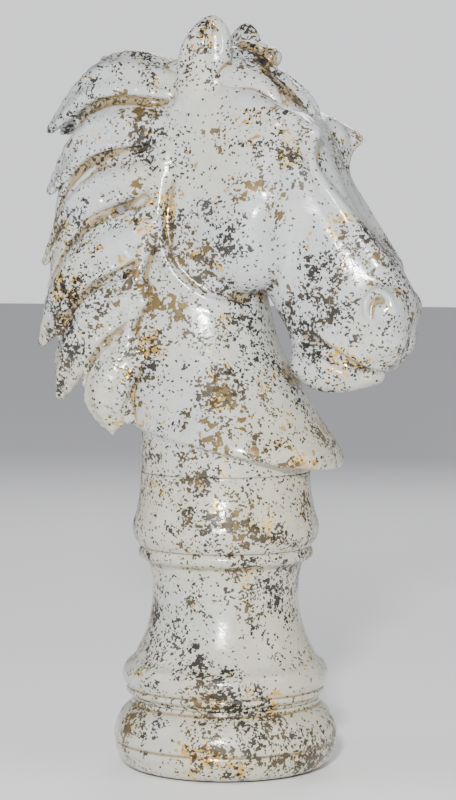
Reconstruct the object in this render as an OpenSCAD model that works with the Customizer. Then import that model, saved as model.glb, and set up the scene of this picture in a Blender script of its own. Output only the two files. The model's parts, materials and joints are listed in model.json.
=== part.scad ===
// Giant chess knight: a hollow cast horse's head on a turned pedestal.
// The origin is the centre of the face it stands on. +X is the way the horse looks, +Y is its left, +Z is up.

/* [Head] */
// Height of the head casting, from the collar joint to the ear tips
head_h = 275; // [262:1:288]
// Wall thickness of the head castings
head_wall = 5; // [4:0.5:6]
// Half angle that the ears stand apart
ear_spread = 5; // [2:1:9]

/* [Pedestal] */
// Largest radius of the foot
foot_r = 68.7; // [66:0.1:72]
// Radius of the bead over the foot
bead_r = 63.2; // [61:0.1:65]
// Smallest radius of the waist
waist_r = 45.1; // [44:0.1:48]
// Largest radius of the barrel under the neck
barrel_r = 57.4; // [55:0.1:60]
// Wall thickness of the pedestal castings
pedestal_wall = 5; // [4:0.5:6]

/* [Base] */
// Radius of the base plate and of the pad
plate_r = 53; // [52:0.5:54]
// Thickness of the soft pad that the piece stands on
pad_t = 3; // [2.5:0.5:3]
// Distance of the filler plug's centre behind the middle
plug_x = 27; // [26.5:0.5:28]
// Number of base screws
screw_count = 6; // [4:2:8]

/* [Filler plug] */
// Radius of the plug's threaded shank
plug_r = 8.95; // [8.5:0.05:9.2]

/* [Hidden] */

glaze = [0.86, 0.85, 0.80];
steel = [0.62, 0.63, 0.65];
brass = [0.80, 0.64, 0.30];
dark_rubber = [0.12, 0.12, 0.13];

gap = 0.2;                 // gap between bonded castings
round_fn = 96;

// Levels of the joints between the stacked castings
gasket_t = 1;
plate_z0 = pad_t;
plate_z1 = pad_t + 9;
flange_t = 8;
foot_top = 42;
waist_top = 135.5;
collar_top = 181;
head_z0 = collar_top + gasket_t;
head_k = head_h / 275;     // scale of the head, which is drawn at 275 mm

// Radii of the spigots that centre each casting on the one below it
foot_spigot_r = 47.6;
waist_spigot_r = 40.6;
collar_spigot_r = 35.5;
spigot_h = 6;
spigot_t = 3.5;
spigot_gap = 0.3;
gasket_out_r = 50;         // outer radius of the two upper gaskets
foot_gasket_out_r = 55;

// Tie rod
rod_r = 5;
rod_clear_r = 5.5;
nut_h = 8;
nut_r = 9.8;
washer_t = 2;
washer_r = 10.2;
boss_top = plate_z0 + 19;
nut_recess_top = plate_z0 + 11;
bulkhead_z0 = head_z0 + 6;
bulkhead_t = 6;
bulkhead_r = 42;

// Pins and screws
pin_r = 2.5;
pin_hole_r = 2.8;
dowel_r = 3;
dowel_hole_r = 3.3;
dowel_y = 43.5;
screw_ring_r = 49;
screw_r = 1.7;
screw_room = 0.2;
screw_head_r = 3.3;
screw_head_h = 2;
screw_len = 15.5;
insert_r = 2.8;

// Filler plug and its bush
bush_r = 12.5;
bush_flange_r = 15;
plug_head_r = 11;
plug_head_z0 = plate_z0 + 7.2;
plug_head_t = 2.8;
plug_socket_r = 5;
seal_t = 1.5;

// Bosses on the base plate, and the recess under the rod
rod_boss_r = 14;
plug_boss_r = 16;
nut_recess_r = 10.8;
slip = 0.05;               // room round a thread, a rod or a dowel

// ---------- curves and skins ----------

// Points along a shallow curve from a towards b that stands h proud of the chord, without b itself
function bow(a, b, h, n) =
    let (d = b - a, side = [d[1], -d[0]] / norm(d))
    [for (i = [0 : n - 1]) let (t = i / n) a + d * t + side * 4 * h * t * (1 - t)];

// Ring of points of one body station [front x, front z, back x, back z, half width], grown by g
function body_ring(s, g, sides) =
    let (front = [s[0], s[1]], back = [s[2], s[3]], mid = (front + back) / 2, half = (front - back) / 2,
         deep = norm(half) + g, dir = half / norm(half), wide = s[4] + g)
    [for (i = [0 : sides - 1]) let (a = 360 * (i + 0.5) / sides, along = deep * cos(a), out = wide * sin(a))
        [mid[0] + dir[0] * along, out, mid[1] + dir[1] * along]];

// Closed skin over rings of points, each ring with the same count
module skin(rings) {
    n = len(rings[0]);
    m = len(rings);
    polyhedron(
        points = [for (r = rings) each r],
        faces = concat(
            [[for (i = [0 : n - 1]) i]],
            [for (j = [0 : m - 2], i = [0 : n - 1])
                let (k = (i + 1) % n) [j * n + i, (j + 1) * n + k, j * n + k]],
            [for (j = [0 : m - 2], i = [0 : n - 1])
                let (k = (i + 1) % n) [j * n + i, (j + 1) * n + i, (j + 1) * n + k]],
            [[for (i = [n - 1 : -1 : 0]) (m - 1) * n + i]]
        )
    );
}

// Chain of rounded beads [x, y, z, radius], each hulled to the next, flattened across Y
module strand(beads, flat = 1, sides = 8) {
    for (i = [0 : len(beads) - 2])
        hull()
            for (b = [beads[i], beads[i + 1]])
                translate([b[0], b[1], b[2]]) scale([1, flat, 1]) sphere(r = b[3], $fn = sides);
}

module both_sides() {
    children();
    mirror([0, 1, 0]) children();
}

// ---------- the horse's head, drawn at 275 mm from the joint to the ear tips ----------

// Neck, from the bib over the collar up to the poll: front x, front z, back x, back z, half width
neck_stations = [
    [73, 1, -54.5, 19, 54.6],
    [72, 15, -60, 33, 55],
    [58, 34, -72, 58, 50],
    [44, 60, -79, 90, 44],
    [33, 80, -81, 124, 41],
    [26, 105, -78, 154, 39],
    [22, 142, -68, 185, 38],
    [18, 186, -50, 212, 35],
    [14, 224, -28, 236, 27],
    [8, 240, -14, 245, 16]
];
// Skull, from the lips up to the poll: top x, top z, underside x, underside z, half width
skull_stations = [
    [107, 71, 90, 55.5, 13],
    [118, 87.5, 69, 51.5, 22],
    [121, 103.5, 53, 58, 25],
    [115, 117.5, 46, 72, 25],
    [106, 131.5, 42, 86, 25],
    [95, 147, 36, 98.5, 26],
    [84, 165, 29, 109, 29],
    [72, 192, 16, 118, 35],
    [57, 218.5, -4, 129, 41],
    [35, 238.5, -16, 141, 41],
    [12, 248, -22, 154, 35],
    [-6, 243, -24, 173, 22]
];
// Neck and skull as plain skins, grown by g on every side
module head_core(g, sides) {
    skin([for (s = neck_stations) body_ring(s, g, sides)]);
    skin([for (s = skull_stations) body_ring(s, g, sides)]);
    translate([0, 0, -1]) cylinder(r = 52 + g, h = 33, $fn = 30);
}
// Brow, cheek disc, cheek bone and nostril of the left side, grown by g
module face_forms(g) {
    strand([[30, 30.3, 219, 9 + g], [50, 31.3, 209, 10 + g], [64, 31.3, 203, 8 + g]]);
    strand([[2, 26, 168, 17 + g], [12, 28, 142, 17 + g], [22, 24, 126, 14 + g]]);
    strand([[58, 20, 194, 9 + g], [74, 16, 164, 8 + g], [88, 14, 136, 7 + g]]);
    strand([[96, 17, 112, 8 + g], [106, 18, 103, 10 + g], [110, 17, 94, 8 + g]]);
}
// Solid of the head and neck without ears or hair, grown by g on every side
module head_solid(g = 0) {
    head_core(g, 20);
    both_sides() face_forms(g);
}

// Slit of the open mouth
module mouth() {
    hull() {
        translate([60, 0, 79]) rotate([90, 0, 0]) cylinder(r = 2, h = 80, center = true, $fn = 12);
        translate([84, 0, 70]) rotate([90, 0, 0]) cylinder(r = 4, h = 80, center = true, $fn = 12);
    }
    hull() {
        translate([84, 0, 70]) rotate([90, 0, 0]) cylinder(r = 4, h = 80, center = true, $fn = 12);
        translate([106, 0, 59]) rotate([90, 0, 0]) cylinder(r = 2, h = 80, center = true, $fn = 12);
    }
}

// Where the pins run: [x, z, lowest y, highest y] of the mane's pins, drawn as the head is
mane_pin_spots = [[-52, 160, 26, 40], [-48, 92, 32, 46]];
module mane_pin_shafts(r) {
    for (p = mane_pin_spots)
        translate([p[0], p[2], p[1]]) rotate([-90, 0, 0]) cylinder(r = r, h = p[3] - p[2], $fn = 24);
}
// Foot of an ear's pin, inside the poll
ear_pin_foot = [-2, 15, 222];
ear_pin_len = 28;
module ear_pin_shaft(r) {
    translate(ear_pin_foot) rotate([-20, 5, 0]) cylinder(r = r, h = ear_pin_len, $fn = 24);
}

// Half of the hollow head on its left side, with its flange, pin holes and mouth
module head_half() {
    inner_z = flange_t - 2;
    translate([0, 0, head_z0]) scale(head_k) difference() {
        union() {
            head_core(0, 20);
            face_forms(0);
        }
        difference() {
            head_core(-head_wall, 12);
            translate([-100, -100, -10]) cube([200, 200, 10 + inner_z]);
            // the lips and chin are cast solid
            translate([44, -60, 0]) rotate([0, 32, 0]) translate([0, 0, -20]) cube([120, 120, 160]);
        }
        translate([0, 0, -1]) cylinder(r = 36, h = 20, $fn = 48);
        translate([0, 0, -30]) cylinder(r = 200, h = 30, $fn = 24);
        mouth();
        translate([-300, -600, -50]) cube([600, 600, 500]);
        mane_pin_shafts(pin_hole_r);
        ear_pin_shaft(pin_hole_r);
        translate([0, dowel_y, -1]) cylinder(r = dowel_hole_r, h = 20, $fn = 24);
    }
}
module head_left() { color(glaze) head_half(); }
module head_right() { color(glaze) mirror([0, 1, 0]) head_half(); }

// Left ear: a cupped leaf that stands on the poll and turns a little outward
module ear_place() {
    translate([1, 20, 222]) rotate([-ear_spread, 8, 22]) children();
}
module ear_blank(g = 0) {
    ear_place() strand([
        [-2, 0, 0, 13 + g], [-3, 0, 14, 17 + g], [-2, 0, 26, 16 + g], [1, 0, 38, 11 + g], [2, 0, 52, 2 + g]
    ], 0.62, 10);
}
module ear() {
    translate([0, 0, head_z0]) scale(head_k) difference() {
        ear_blank();
        ear_place() strand([[9, 4, 12, 5], [8, 5, 24, 7], [7, 4, 34, 5], [4, 2, 46, 1.5]], 0.8, 8);
        head_solid(gap);
        ear_pin_shaft(pin_hole_r);
    }
}
module ear_left() { color(glaze) ear(); }
module ear_right() { color(glaze) mirror([0, 1, 0]) ear(); }

// Curled tuft that falls between the ears onto the brow
module forelock_solid(g = 0) {
    strand([[-4, 0, 250, 8 + g], [12, 0, 259, 9 + g], [27, 1, 257, 9 + g], [34, 0, 248, 8 + g]], 1.2);
    strand([[34, 0, 248, 8 + g], [46, -4, 235, 7 + g], [58, -9, 223, 2.5 + g]], 1.3);
    strand([[8, -8, 254, 7 + g], [26, -16, 244, 7 + g], [38, -22, 228, 2.5 + g]], 0.8);
    strand([[8, 8, 254, 7 + g], [28, 14, 246, 7 + g], [44, 18, 232, 2.5 + g]], 0.8);
}
module forelock() {
    color(glaze) translate([0, 0, head_z0]) scale(head_k) difference() {
        forelock_solid();
        head_solid(gap);
        both_sides() ear_blank(2 * gap);
    }
}

// Locks of the mane's left side, each a chain of beads, with the ridge next to the cheek last
mane_locks = [
    [[-8, 9, 247, 9], [-40, 12, 240, 12], [-74, 12, 233, 12], [-98, 10, 216, 9], [-111, 8, 207, 3]],
    [[-26, 16, 232, 12], [-60, 26, 214, 14], [-90, 24, 186, 13], [-103, 16, 158, 3]],
    [[-24, 22, 212, 11], [-60, 32, 178, 14], [-96, 26, 140, 14], [-108, 14, 112, 12]],
    [[-40, 30, 182, 11], [-66, 36, 140, 14], [-92, 30, 104, 14], [-106, 16, 84, 12]],
    [[-34, 34, 196, 9], [-44, 38, 152, 10], [-50, 42, 104, 11], [-54, 42, 58, 11], [-56, 36, 30, 8]],
    [[-62, 38, 84, 12], [-86, 30, 58, 14], [-104, 16, 52, 11]],
    [[-58, 36, 46, 11], [-80, 26, 38, 10], [-96, 12, 42, 8]]
];
// Hair that fills the middle, behind the neck, from the bottom up:
// front x, front z, back x, back z, half width
hair_stations = [
    [-50, 34, -92, 36, 16],
    [-58, 62, -106, 56, 22],
    [-62, 100, -110, 104, 26],
    [-60, 144, -104, 156, 26],
    [-50, 186, -94, 208, 24],
    [-30, 222, -62, 244, 18],
    [-4, 248, -16, 254, 9]
];
crest_half = 9;
module mane_form() {
    difference() {
        union() {
            skin([for (s = hair_stations) body_ring(s, 0, 12)]);
            both_sides() for (lock = mane_locks) strand(lock);
        }
        head_solid(gap);
        both_sides() ear_blank(2 * gap);
        forelock_solid(2 * gap);
        translate([0, 0, -30]) cylinder(r = 250, h = 30.4, $fn = 24);
    }
}
module mane_half() {
    translate([0, 0, head_z0]) scale(head_k) difference() {
        mane_form();
        translate([-300, crest_half + gap - 600, -50]) cube([600, 600, 500]);
        mane_pin_shafts(pin_hole_r);
    }
}
module mane_left() { color(glaze) mane_half(); }
module mane_right() { color(glaze) mirror([0, 1, 0]) mane_half(); }
module mane_crest() {
    color(glaze) translate([0, 0, head_z0]) scale(head_k) intersection() {
        mane_form();
        translate([-300, -crest_half, -50]) cube([600, 2 * crest_half, 500]);
    }
}

module ear_pins() {
    color(steel) translate([0, 0, head_z0]) scale(head_k) both_sides() ear_pin_shaft(pin_r);
}
module mane_pins() {
    color(steel) translate([0, 0, head_z0]) scale(head_k) both_sides() mane_pin_shafts(pin_r);
}
// Plate on the middle plane that lines up the two halves of the head
module head_web() {
    color("burlywood") translate([0, 0, head_z0]) scale(head_k) rotate([90, 0, 0])
        linear_extrude(4, center = true) difference() {
            polygon([
                [-36, 30], [-4, 30], [-16, 104], [-2, 150], [36, 172], [42, 146], [66, 160], [56, 206],
                [30, 222],
                [-14, 214], [-46, 172], [-60, 110]
            ]);
            for (p = [[-36, 104], [-30, 140], [-14, 186], [30, 194]]) translate(p) circle(r = 9);
        }
}

// ---------- the joint between head and pedestal ----------

module tube(r_in, r_out, z0, z1) {
    translate([0, 0, z0]) difference() {
        cylinder(r = r_out, h = z1 - z0, $fn = round_fn);
        translate([0, 0, -1]) cylinder(r = r_in, h = z1 - z0 + 2, $fn = round_fn);
    }
}
module dowel_holes(r, z0, z1) {
    for (side = [-1, 1]) translate([0, side * dowel_y, z0]) cylinder(r = r, h = z1 - z0, $fn = 32);
}
module hex_nut(z0) {
    translate([0, 0, z0]) difference() {
        cylinder(r = nut_r, h = nut_h, $fn = 6);
        translate([0, 0, -1]) cylinder(r = rod_r + slip, h = nut_h + 2, $fn = round_fn);
    }
}
module neck_bulkhead() {
    color("gray") tube(rod_clear_r, bulkhead_r - 3.5, bulkhead_z0, bulkhead_z0 + bulkhead_t);
}
module head_dowels() { color(steel) dowel_holes(dowel_r, collar_top - 5, head_z0 + 5); }
module tie_rod() {
    color(steel) translate([0, 0, plate_z0 + 0.6])
        cylinder(r = rod_r, h = bulkhead_z0 + bulkhead_t + 14 - plate_z0 - 0.6, $fn = round_fn);
}
module rod_washer_top() {
    z0 = bulkhead_z0 + bulkhead_t;
    color(steel) tube(rod_clear_r, washer_r, z0, z0 + washer_t);
}
module rod_nut_top() { color(steel) hex_nut(bulkhead_z0 + bulkhead_t + washer_t); }
module rod_washer_bottom() {
    color(steel) tube(rod_clear_r, washer_r, nut_recess_top - washer_t, nut_recess_top);
}
module rod_nut_bottom() { color(steel) hex_nut(nut_recess_top - washer_t - nut_h); }
module neck_gasket() {
    color(dark_rubber) difference() {
        tube(collar_spigot_r + spigot_gap, gasket_out_r, collar_top, head_z0);
        dowel_holes(dowel_r + slip, collar_top - 1, head_z0 + 1);
    }
}

// ---------- the pedestal ----------

// Outlines of the three castings as radius and height, from the bottom up
foot_outline = concat(
    bow([plate_r + 6, pad_t - 1.5], [foot_r, 18], 2.4, 6),
    bow([foot_r, 18], [foot_r - 2.9, 31], 0.5, 3),
    bow([foot_r - 2.9, 31], [foot_r - 9.3, 38.5], 0.7, 4),
    bow([foot_r - 9.3, 38.5], [foot_r - 11, foot_top], -0.4, 2),
    [[foot_r - 11, foot_top]]
);
waist_bead_top = 64.5;
waist_narrow_z = 110;
waist_hollow = bow([waist_r + 9.4, 71.7], [waist_r, waist_narrow_z], -2.8, 8);
waist_outline = concat(
    bow([foot_r - 10.9, foot_top + gasket_t], [bead_r - 2.7, 46.5], -0.4, 2),
    bow([bead_r - 2.7, 46.5], [bead_r - 2.5, 49.5], 0.5, 3),
    bow([bead_r - 2.5, 49.5], [bead_r - 2.5, waist_bead_top], 2.6, 8),
    bow([bead_r - 2.5, waist_bead_top], [waist_r + 9.4, 71.7], -0.6, 3),
    waist_hollow,
    bow([waist_r, waist_narrow_z], [waist_r + 2.2, 124.5], -0.6, 4),
    bow([waist_r + 2.2, 124.5], [waist_r + 6.3, 128.5], -0.7, 3),
    bow([waist_r + 6.3, 128.5], [barrel_r - 4.2, waist_top], 1.6, 5),
    [[barrel_r - 4.2, waist_top]]
);
collar_outline = concat(
    bow([barrel_r - 4, waist_top + gasket_t], [barrel_r - 1.5, 155], 2.7, 9),
    bow([barrel_r - 1.5, 155], [barrel_r - 5.2, collar_top], -0.9, 6),
    [[barrel_r - 5.2, collar_top]]
);
function inset(outline, d) = [for (p = outline) [p[0] - d, p[1]]];
function reversed(a) = [for (i = [len(a) - 1 : -1 : 0]) a[i]];

// Turned shell with a wall of one thickness between its outline and the outline moved in
module turned_wall(outline) {
    rotate_extrude($fn = round_fn) polygon(concat(outline, reversed(inset(outline, pedestal_wall))));
}
// Flange inside the top of a shell, with a spigot that centres the next casting
module top_flange(spigot_r, wall_r, z) {
    tube(spigot_r - spigot_t, wall_r, z - flange_t, z);
    tube(spigot_r - spigot_t, spigot_r, z - 1, z + spigot_h);
}

module collar_shell() {
    color(glaze) difference() {
        union() {
            turned_wall(collar_outline);
            top_flange(collar_spigot_r, barrel_r - 8, collar_top);
        }
        dowel_holes(dowel_r, collar_top - 5, collar_top + 1);
    }
}
module collar_gasket() {
    color(dark_rubber) tube(waist_spigot_r + spigot_gap, gasket_out_r, waist_top, waist_top + gasket_t);
}
module waist_shell() {
    color(glaze) union() {
        turned_wall(waist_outline);
        top_flange(waist_spigot_r, barrel_r - 8, waist_top);
    }
}
module waist_gasket() {
    color(dark_rubber) tube(foot_spigot_r + spigot_gap, foot_gasket_out_r, foot_top, foot_top + gasket_t);
}
module foot_shell() {
    color(glaze) difference() {
        union() {
            turned_wall(foot_outline);
            top_flange(foot_spigot_r, foot_r - 14, foot_top);
            tube(screw_ring_r - 5, foot_r - 3, plate_z1, plate_z1 + flange_t);
        }
        translate([0, 0, -1]) cylinder(r = plate_r + gap, h = plate_z1 + 1, $fn = round_fn);
        at_screws() translate([0, 0, plate_z1 - 1]) cylinder(r = insert_r, h = flange_t + 2, $fn = 32);
    }
}
// Sand packed into the foot and the waist, around the tie rod
module ballast_sand() {
    room = 0.8;            // room between the sand and the castings
    floor_z = boss_top + 3;
    foot_in = foot_spigot_r - spigot_t - room;
    bead_in = bead_r - pedestal_wall - 3;
    color("tan") difference() {
        rotate_extrude($fn = round_fn) polygon(concat(
            [
                [0, floor_z], [foot_r - 8.5, floor_z], [foot_r - 9.5, foot_top - flange_t - 2],
                [foot_in, foot_top - flange_t - room], [foot_in, foot_top + spigot_h + room], [bead_in, 52],
                [bead_in, waist_bead_top - 2.5]
            ],
            inset(waist_hollow, pedestal_wall + room),
            [[waist_r - pedestal_wall - room, waist_narrow_z], [0, waist_narrow_z]]
        ));
        translate([0, 0, floor_z - 1]) cylinder(r = rod_r + 0.3, h = waist_narrow_z, $fn = round_fn);
    }
}

// ---------- the base ----------

module at_screws() {
    for (i = [0 : screw_count - 1])
        rotate(360 * (i + 0.5) / screw_count) translate([screw_ring_r, 0, 0]) children();
}
module base_plate() {
    color("dimgray") difference() {
        union() {
            translate([0, 0, plate_z0]) cylinder(r = plate_r, h = plate_z1 - plate_z0, $fn = round_fn);
            translate([0, 0, plate_z0]) cylinder(r = rod_boss_r, h = boss_top - plate_z0, $fn = round_fn);
            translate([-plug_x, 0, plate_z0])
                cylinder(r = plug_boss_r, h = boss_top - plate_z0, $fn = round_fn);
        }
        translate([0, 0, plate_z0 - 1]) cylinder(r = rod_clear_r, h = 30, $fn = round_fn);
        translate([0, 0, plate_z0 - 1])
            cylinder(r = nut_recess_r, h = nut_recess_top - plate_z0 + 1, $fn = round_fn);
        translate([-plug_x, 0, plate_z0 - 1]) cylinder(r = bush_r, h = 30, $fn = round_fn);
        at_screws() {
            translate([0, 0, plate_z0 - 1]) cylinder(r = screw_r + screw_room, h = 20, $fn = 32);
            translate([0, 0, plate_z0 - 0.01])
                cylinder(
                    r1 = screw_head_r + 0.3, r2 = screw_r + screw_room, h = screw_head_h + 0.4, $fn = 32
                );
        }
    }
}
module base_screws() {
    color(steel) at_screws() translate([0, 0, plate_z0 + 0.2]) difference() {
        union() {
            cylinder(r1 = screw_head_r, r2 = screw_r, h = screw_head_h, $fn = 32);
            cylinder(r = screw_r, h = screw_len, $fn = 32);
        }
        for (a = [0, 90]) rotate(a) translate([-2, -0.4, -1]) cube([4, 0.8, 1.8]);
    }
}
module screw_inserts() {
    color(brass) at_screws() tube(screw_r, insert_r, plate_z1, plate_z1 + flange_t);
}
module filler_bush() {
    head_top = plug_head_z0 + plug_head_t + seal_t;
    color(brass) translate([-plug_x, 0, 0]) difference() {
        union() {
            translate([0, 0, plug_head_z0]) cylinder(r = bush_r, h = boss_top - plug_head_z0, $fn = round_fn);
            translate([0, 0, boss_top]) cylinder(r = bush_flange_r, h = 2, $fn = round_fn);
        }
        translate([0, 0, plug_head_z0 - 1]) cylinder(r = plug_r + slip, h = 30, $fn = round_fn);
        translate([0, 0, plug_head_z0 - 1])
            cylinder(r = plug_head_r + 0.3, h = head_top - plug_head_z0 + 1, $fn = round_fn);
    }
}
// Threaded plug with a hex socket; its head sits in the recess of the bush
module filler_plug() {
    shank_z0 = plug_head_z0 + plug_head_t;
    color(brass) translate([-plug_x, 0, 0]) difference() {
        union() {
            translate([0, 0, plug_head_z0]) cylinder(r = plug_head_r, h = plug_head_t, $fn = round_fn);
            translate([0, 0, shank_z0]) cylinder(r = plug_r, h = boss_top - shank_z0, $fn = round_fn);
        }
        translate([0, 0, plug_head_z0 - 1]) cylinder(r = plug_socket_r, h = 6, $fn = 6);
    }
}
module plug_seal() {
    z0 = plug_head_z0 + plug_head_t;
    color(dark_rubber) translate([-plug_x, 0, 0]) tube(plug_r + slip, plug_head_r, z0, z0 + seal_t);
}
module base_pad() {
    color("darkslategray") difference() {
        cylinder(r = plate_r, h = pad_t, $fn = round_fn);
        translate([-plug_x, 0, -1]) cylinder(r = bush_r + 0.5, h = pad_t + 2, $fn = round_fn);
    }
}

head_right();
head_left();
ear_right();
ear_left();
forelock();
mane_right();
mane_left();
mane_crest();
ear_pins();
mane_pins();
head_web();
neck_bulkhead();
head_dowels();
tie_rod();
rod_nut_top();
rod_washer_top();
rod_nut_bottom();
rod_washer_bottom();
neck_gasket();
collar_shell();
collar_gasket();
waist_shell();
waist_gasket();
foot_shell();
ballast_sand();
base_plate();
base_screws();
screw_inserts();
filler_bush();
filler_plug();
plug_seal();
base_pad();
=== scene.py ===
"""Giant chess knight: the sculpted head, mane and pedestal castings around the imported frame."""

import json
import math

import bpy
import numpy as np
import openvdb
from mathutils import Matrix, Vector


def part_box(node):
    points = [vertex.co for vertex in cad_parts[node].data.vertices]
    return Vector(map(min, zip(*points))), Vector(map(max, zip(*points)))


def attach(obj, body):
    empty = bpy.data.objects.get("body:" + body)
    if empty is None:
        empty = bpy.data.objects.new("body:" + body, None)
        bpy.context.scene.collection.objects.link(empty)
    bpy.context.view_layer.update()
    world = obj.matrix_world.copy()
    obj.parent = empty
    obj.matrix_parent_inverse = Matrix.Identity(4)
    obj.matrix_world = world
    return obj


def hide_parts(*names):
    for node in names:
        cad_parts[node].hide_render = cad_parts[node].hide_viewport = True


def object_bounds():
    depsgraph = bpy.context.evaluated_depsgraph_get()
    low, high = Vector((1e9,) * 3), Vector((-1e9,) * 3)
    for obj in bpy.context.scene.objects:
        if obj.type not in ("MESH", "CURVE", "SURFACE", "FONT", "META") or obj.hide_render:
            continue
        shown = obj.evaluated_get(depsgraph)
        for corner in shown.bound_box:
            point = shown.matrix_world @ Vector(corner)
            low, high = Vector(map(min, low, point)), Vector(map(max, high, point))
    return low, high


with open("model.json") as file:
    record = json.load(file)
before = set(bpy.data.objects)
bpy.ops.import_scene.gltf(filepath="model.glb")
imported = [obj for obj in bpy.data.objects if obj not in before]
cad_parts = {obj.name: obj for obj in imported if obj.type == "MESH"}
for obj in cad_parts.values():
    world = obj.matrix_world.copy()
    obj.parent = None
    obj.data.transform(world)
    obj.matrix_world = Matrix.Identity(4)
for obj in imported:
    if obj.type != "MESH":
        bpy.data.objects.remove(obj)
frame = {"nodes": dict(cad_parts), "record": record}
cad_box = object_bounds()
ROOT = "piece"

# The head is sculpted in millimetres from the collar joint, at the height that the CAD head was drawn at
HEAD_DRAWN = 275.0
head_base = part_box("head_left")[0][2]
head_scale = (cad_box[1][2] - head_base) / HEAD_DRAWN
VOXEL = 1.2


# ---------- distance fields ----------

def smooth_min(a, b, k):
    """Union of two fields, rounded over a width k."""
    h = np.maximum(k - np.abs(a - b), 0.0) / k
    return np.minimum(a, b) - h * h * k * 0.25


def smooth_max(a, b, k):
    """Intersection of two fields, rounded over a width k."""
    return -smooth_min(-a, -b, k)


def catmull(points, steps):
    """Smooth curve through rows of numbers, with steps rows for each pair."""
    p = np.array(points, float)
    ext = np.vstack([2 * p[0] - p[1], p, 2 * p[-1] - p[-2]])
    rows = []
    for i in range(len(p) - 1):
        a, b, c, d = ext[i : i + 4]
        for j in range(steps):
            t = j / steps
            rows.append(0.5 * (2 * b + (c - a) * t + (2 * a - 5 * b + 4 * c - d) * t**2
                               + (3 * b - a - 3 * c + d) * t**3))
    rows.append(p[-1])
    return np.array(rows)


class Block:
    """A box of voxels, in head millimetres, that holds a distance field."""

    def __init__(self, low, high, voxel=None):
        self.voxel = voxel or VOXEL
        self.low = np.array(low, float)
        self.size = np.ceil((np.array(high) - self.low) / self.voxel).astype(int) + 1
        self.d = np.full(self.size, 60.0, np.float32)

    def window(self, low, high):
        a = np.clip(np.floor((np.array(low) - self.low) / self.voxel).astype(int), 0, self.size)
        b = np.clip(np.ceil((np.array(high) - self.low) / self.voxel).astype(int) + 1, a, self.size)
        axes = [(self.low[i] + self.voxel * np.arange(a[i], b[i])).astype(np.float32) for i in range(3)]
        cut = tuple(slice(i, j) for i, j in zip(a, b))
        return cut, axes[0][:, None, None], axes[1][None, :, None], axes[2][None, None, :]

    def add(self, form, k=4.0):
        cut, x, y, z = self.window(form.low - k - 2, form.high + k + 2)
        if self.d[cut].size:
            self.d[cut] = smooth_min(self.d[cut], form.distance(x, y, z), k)

    def cut(self, form, k=3.0):
        where, x, y, z = self.window(form.low - k - 2, form.high + k + 2)
        if self.d[where].size:
            self.d[where] = smooth_max(self.d[where], -form.distance(x, y, z), k)


def on_skin(block, rows, lift):
    """Strand along rows [x, z, radius] on the outermost skin of the left half, lifted by lift radii."""
    found = []
    for x, z, r in catmull(rows, 5):
        i, j = np.round((np.array([x, z]) - block.low[[0, 2]]) / block.voxel).astype(int)
        if 0 <= i < block.size[0] and 0 <= j < block.size[2]:
            inside = np.nonzero(block.d[i, :, j] < 0)[0]
            if len(inside):
                found.append([x, block.low[1] + block.voxel * inside[-1] + lift * r, z, r])
    if len(found) < 2:
        return None
    found = np.array(found)
    found[1:-1, 1] = (found[:-2, 1] + found[1:-1, 1] + found[2:, 1]) / 3
    return Strand(found, steps=1)


def carve(block, rows, k=2.5, lift=0.15):
    """Groove of width two radii along rows [x, z, radius] in the skin of the left half."""
    strand = on_skin(block, rows, lift)
    if strand:
        block.cut(strand, k)


def pile(block, rows, k=2.0, lift=-0.2):
    """Round rim along rows [x, z, radius] on the skin of the left half."""
    strand = on_skin(block, rows, lift)
    if strand:
        block.add(strand, k)


class Ball:
    """Ellipsoid with its long axes turned by degrees about Y, then Z."""

    def __init__(self, centre, radii, turn=(0, 0)):
        self.c = np.array(centre, float)
        self.r = np.array(radii, float)
        self.turn = turn
        reach = max(radii)
        self.low, self.high = self.c - reach, self.c + reach

    def distance(self, x, y, z):
        x, y, z = x - self.c[0], y - self.c[1], z - self.c[2]
        a, b = (math.radians(v) for v in self.turn)
        x, y = x * math.cos(b) + y * math.sin(b), y * math.cos(b) - x * math.sin(b)
        x, z = x * math.cos(a) - z * math.sin(a), z * math.cos(a) + x * math.sin(a)
        near = np.sqrt((x / self.r[0]) ** 2 + (y / self.r[1]) ** 2 + (z / self.r[2]) ** 2)
        far = np.sqrt((x / self.r[0] ** 2) ** 2 + (y / self.r[1] ** 2) ** 2 + (z / self.r[2] ** 2) ** 2)
        return near * (near - 1.0) / np.maximum(far, 1e-4)


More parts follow.
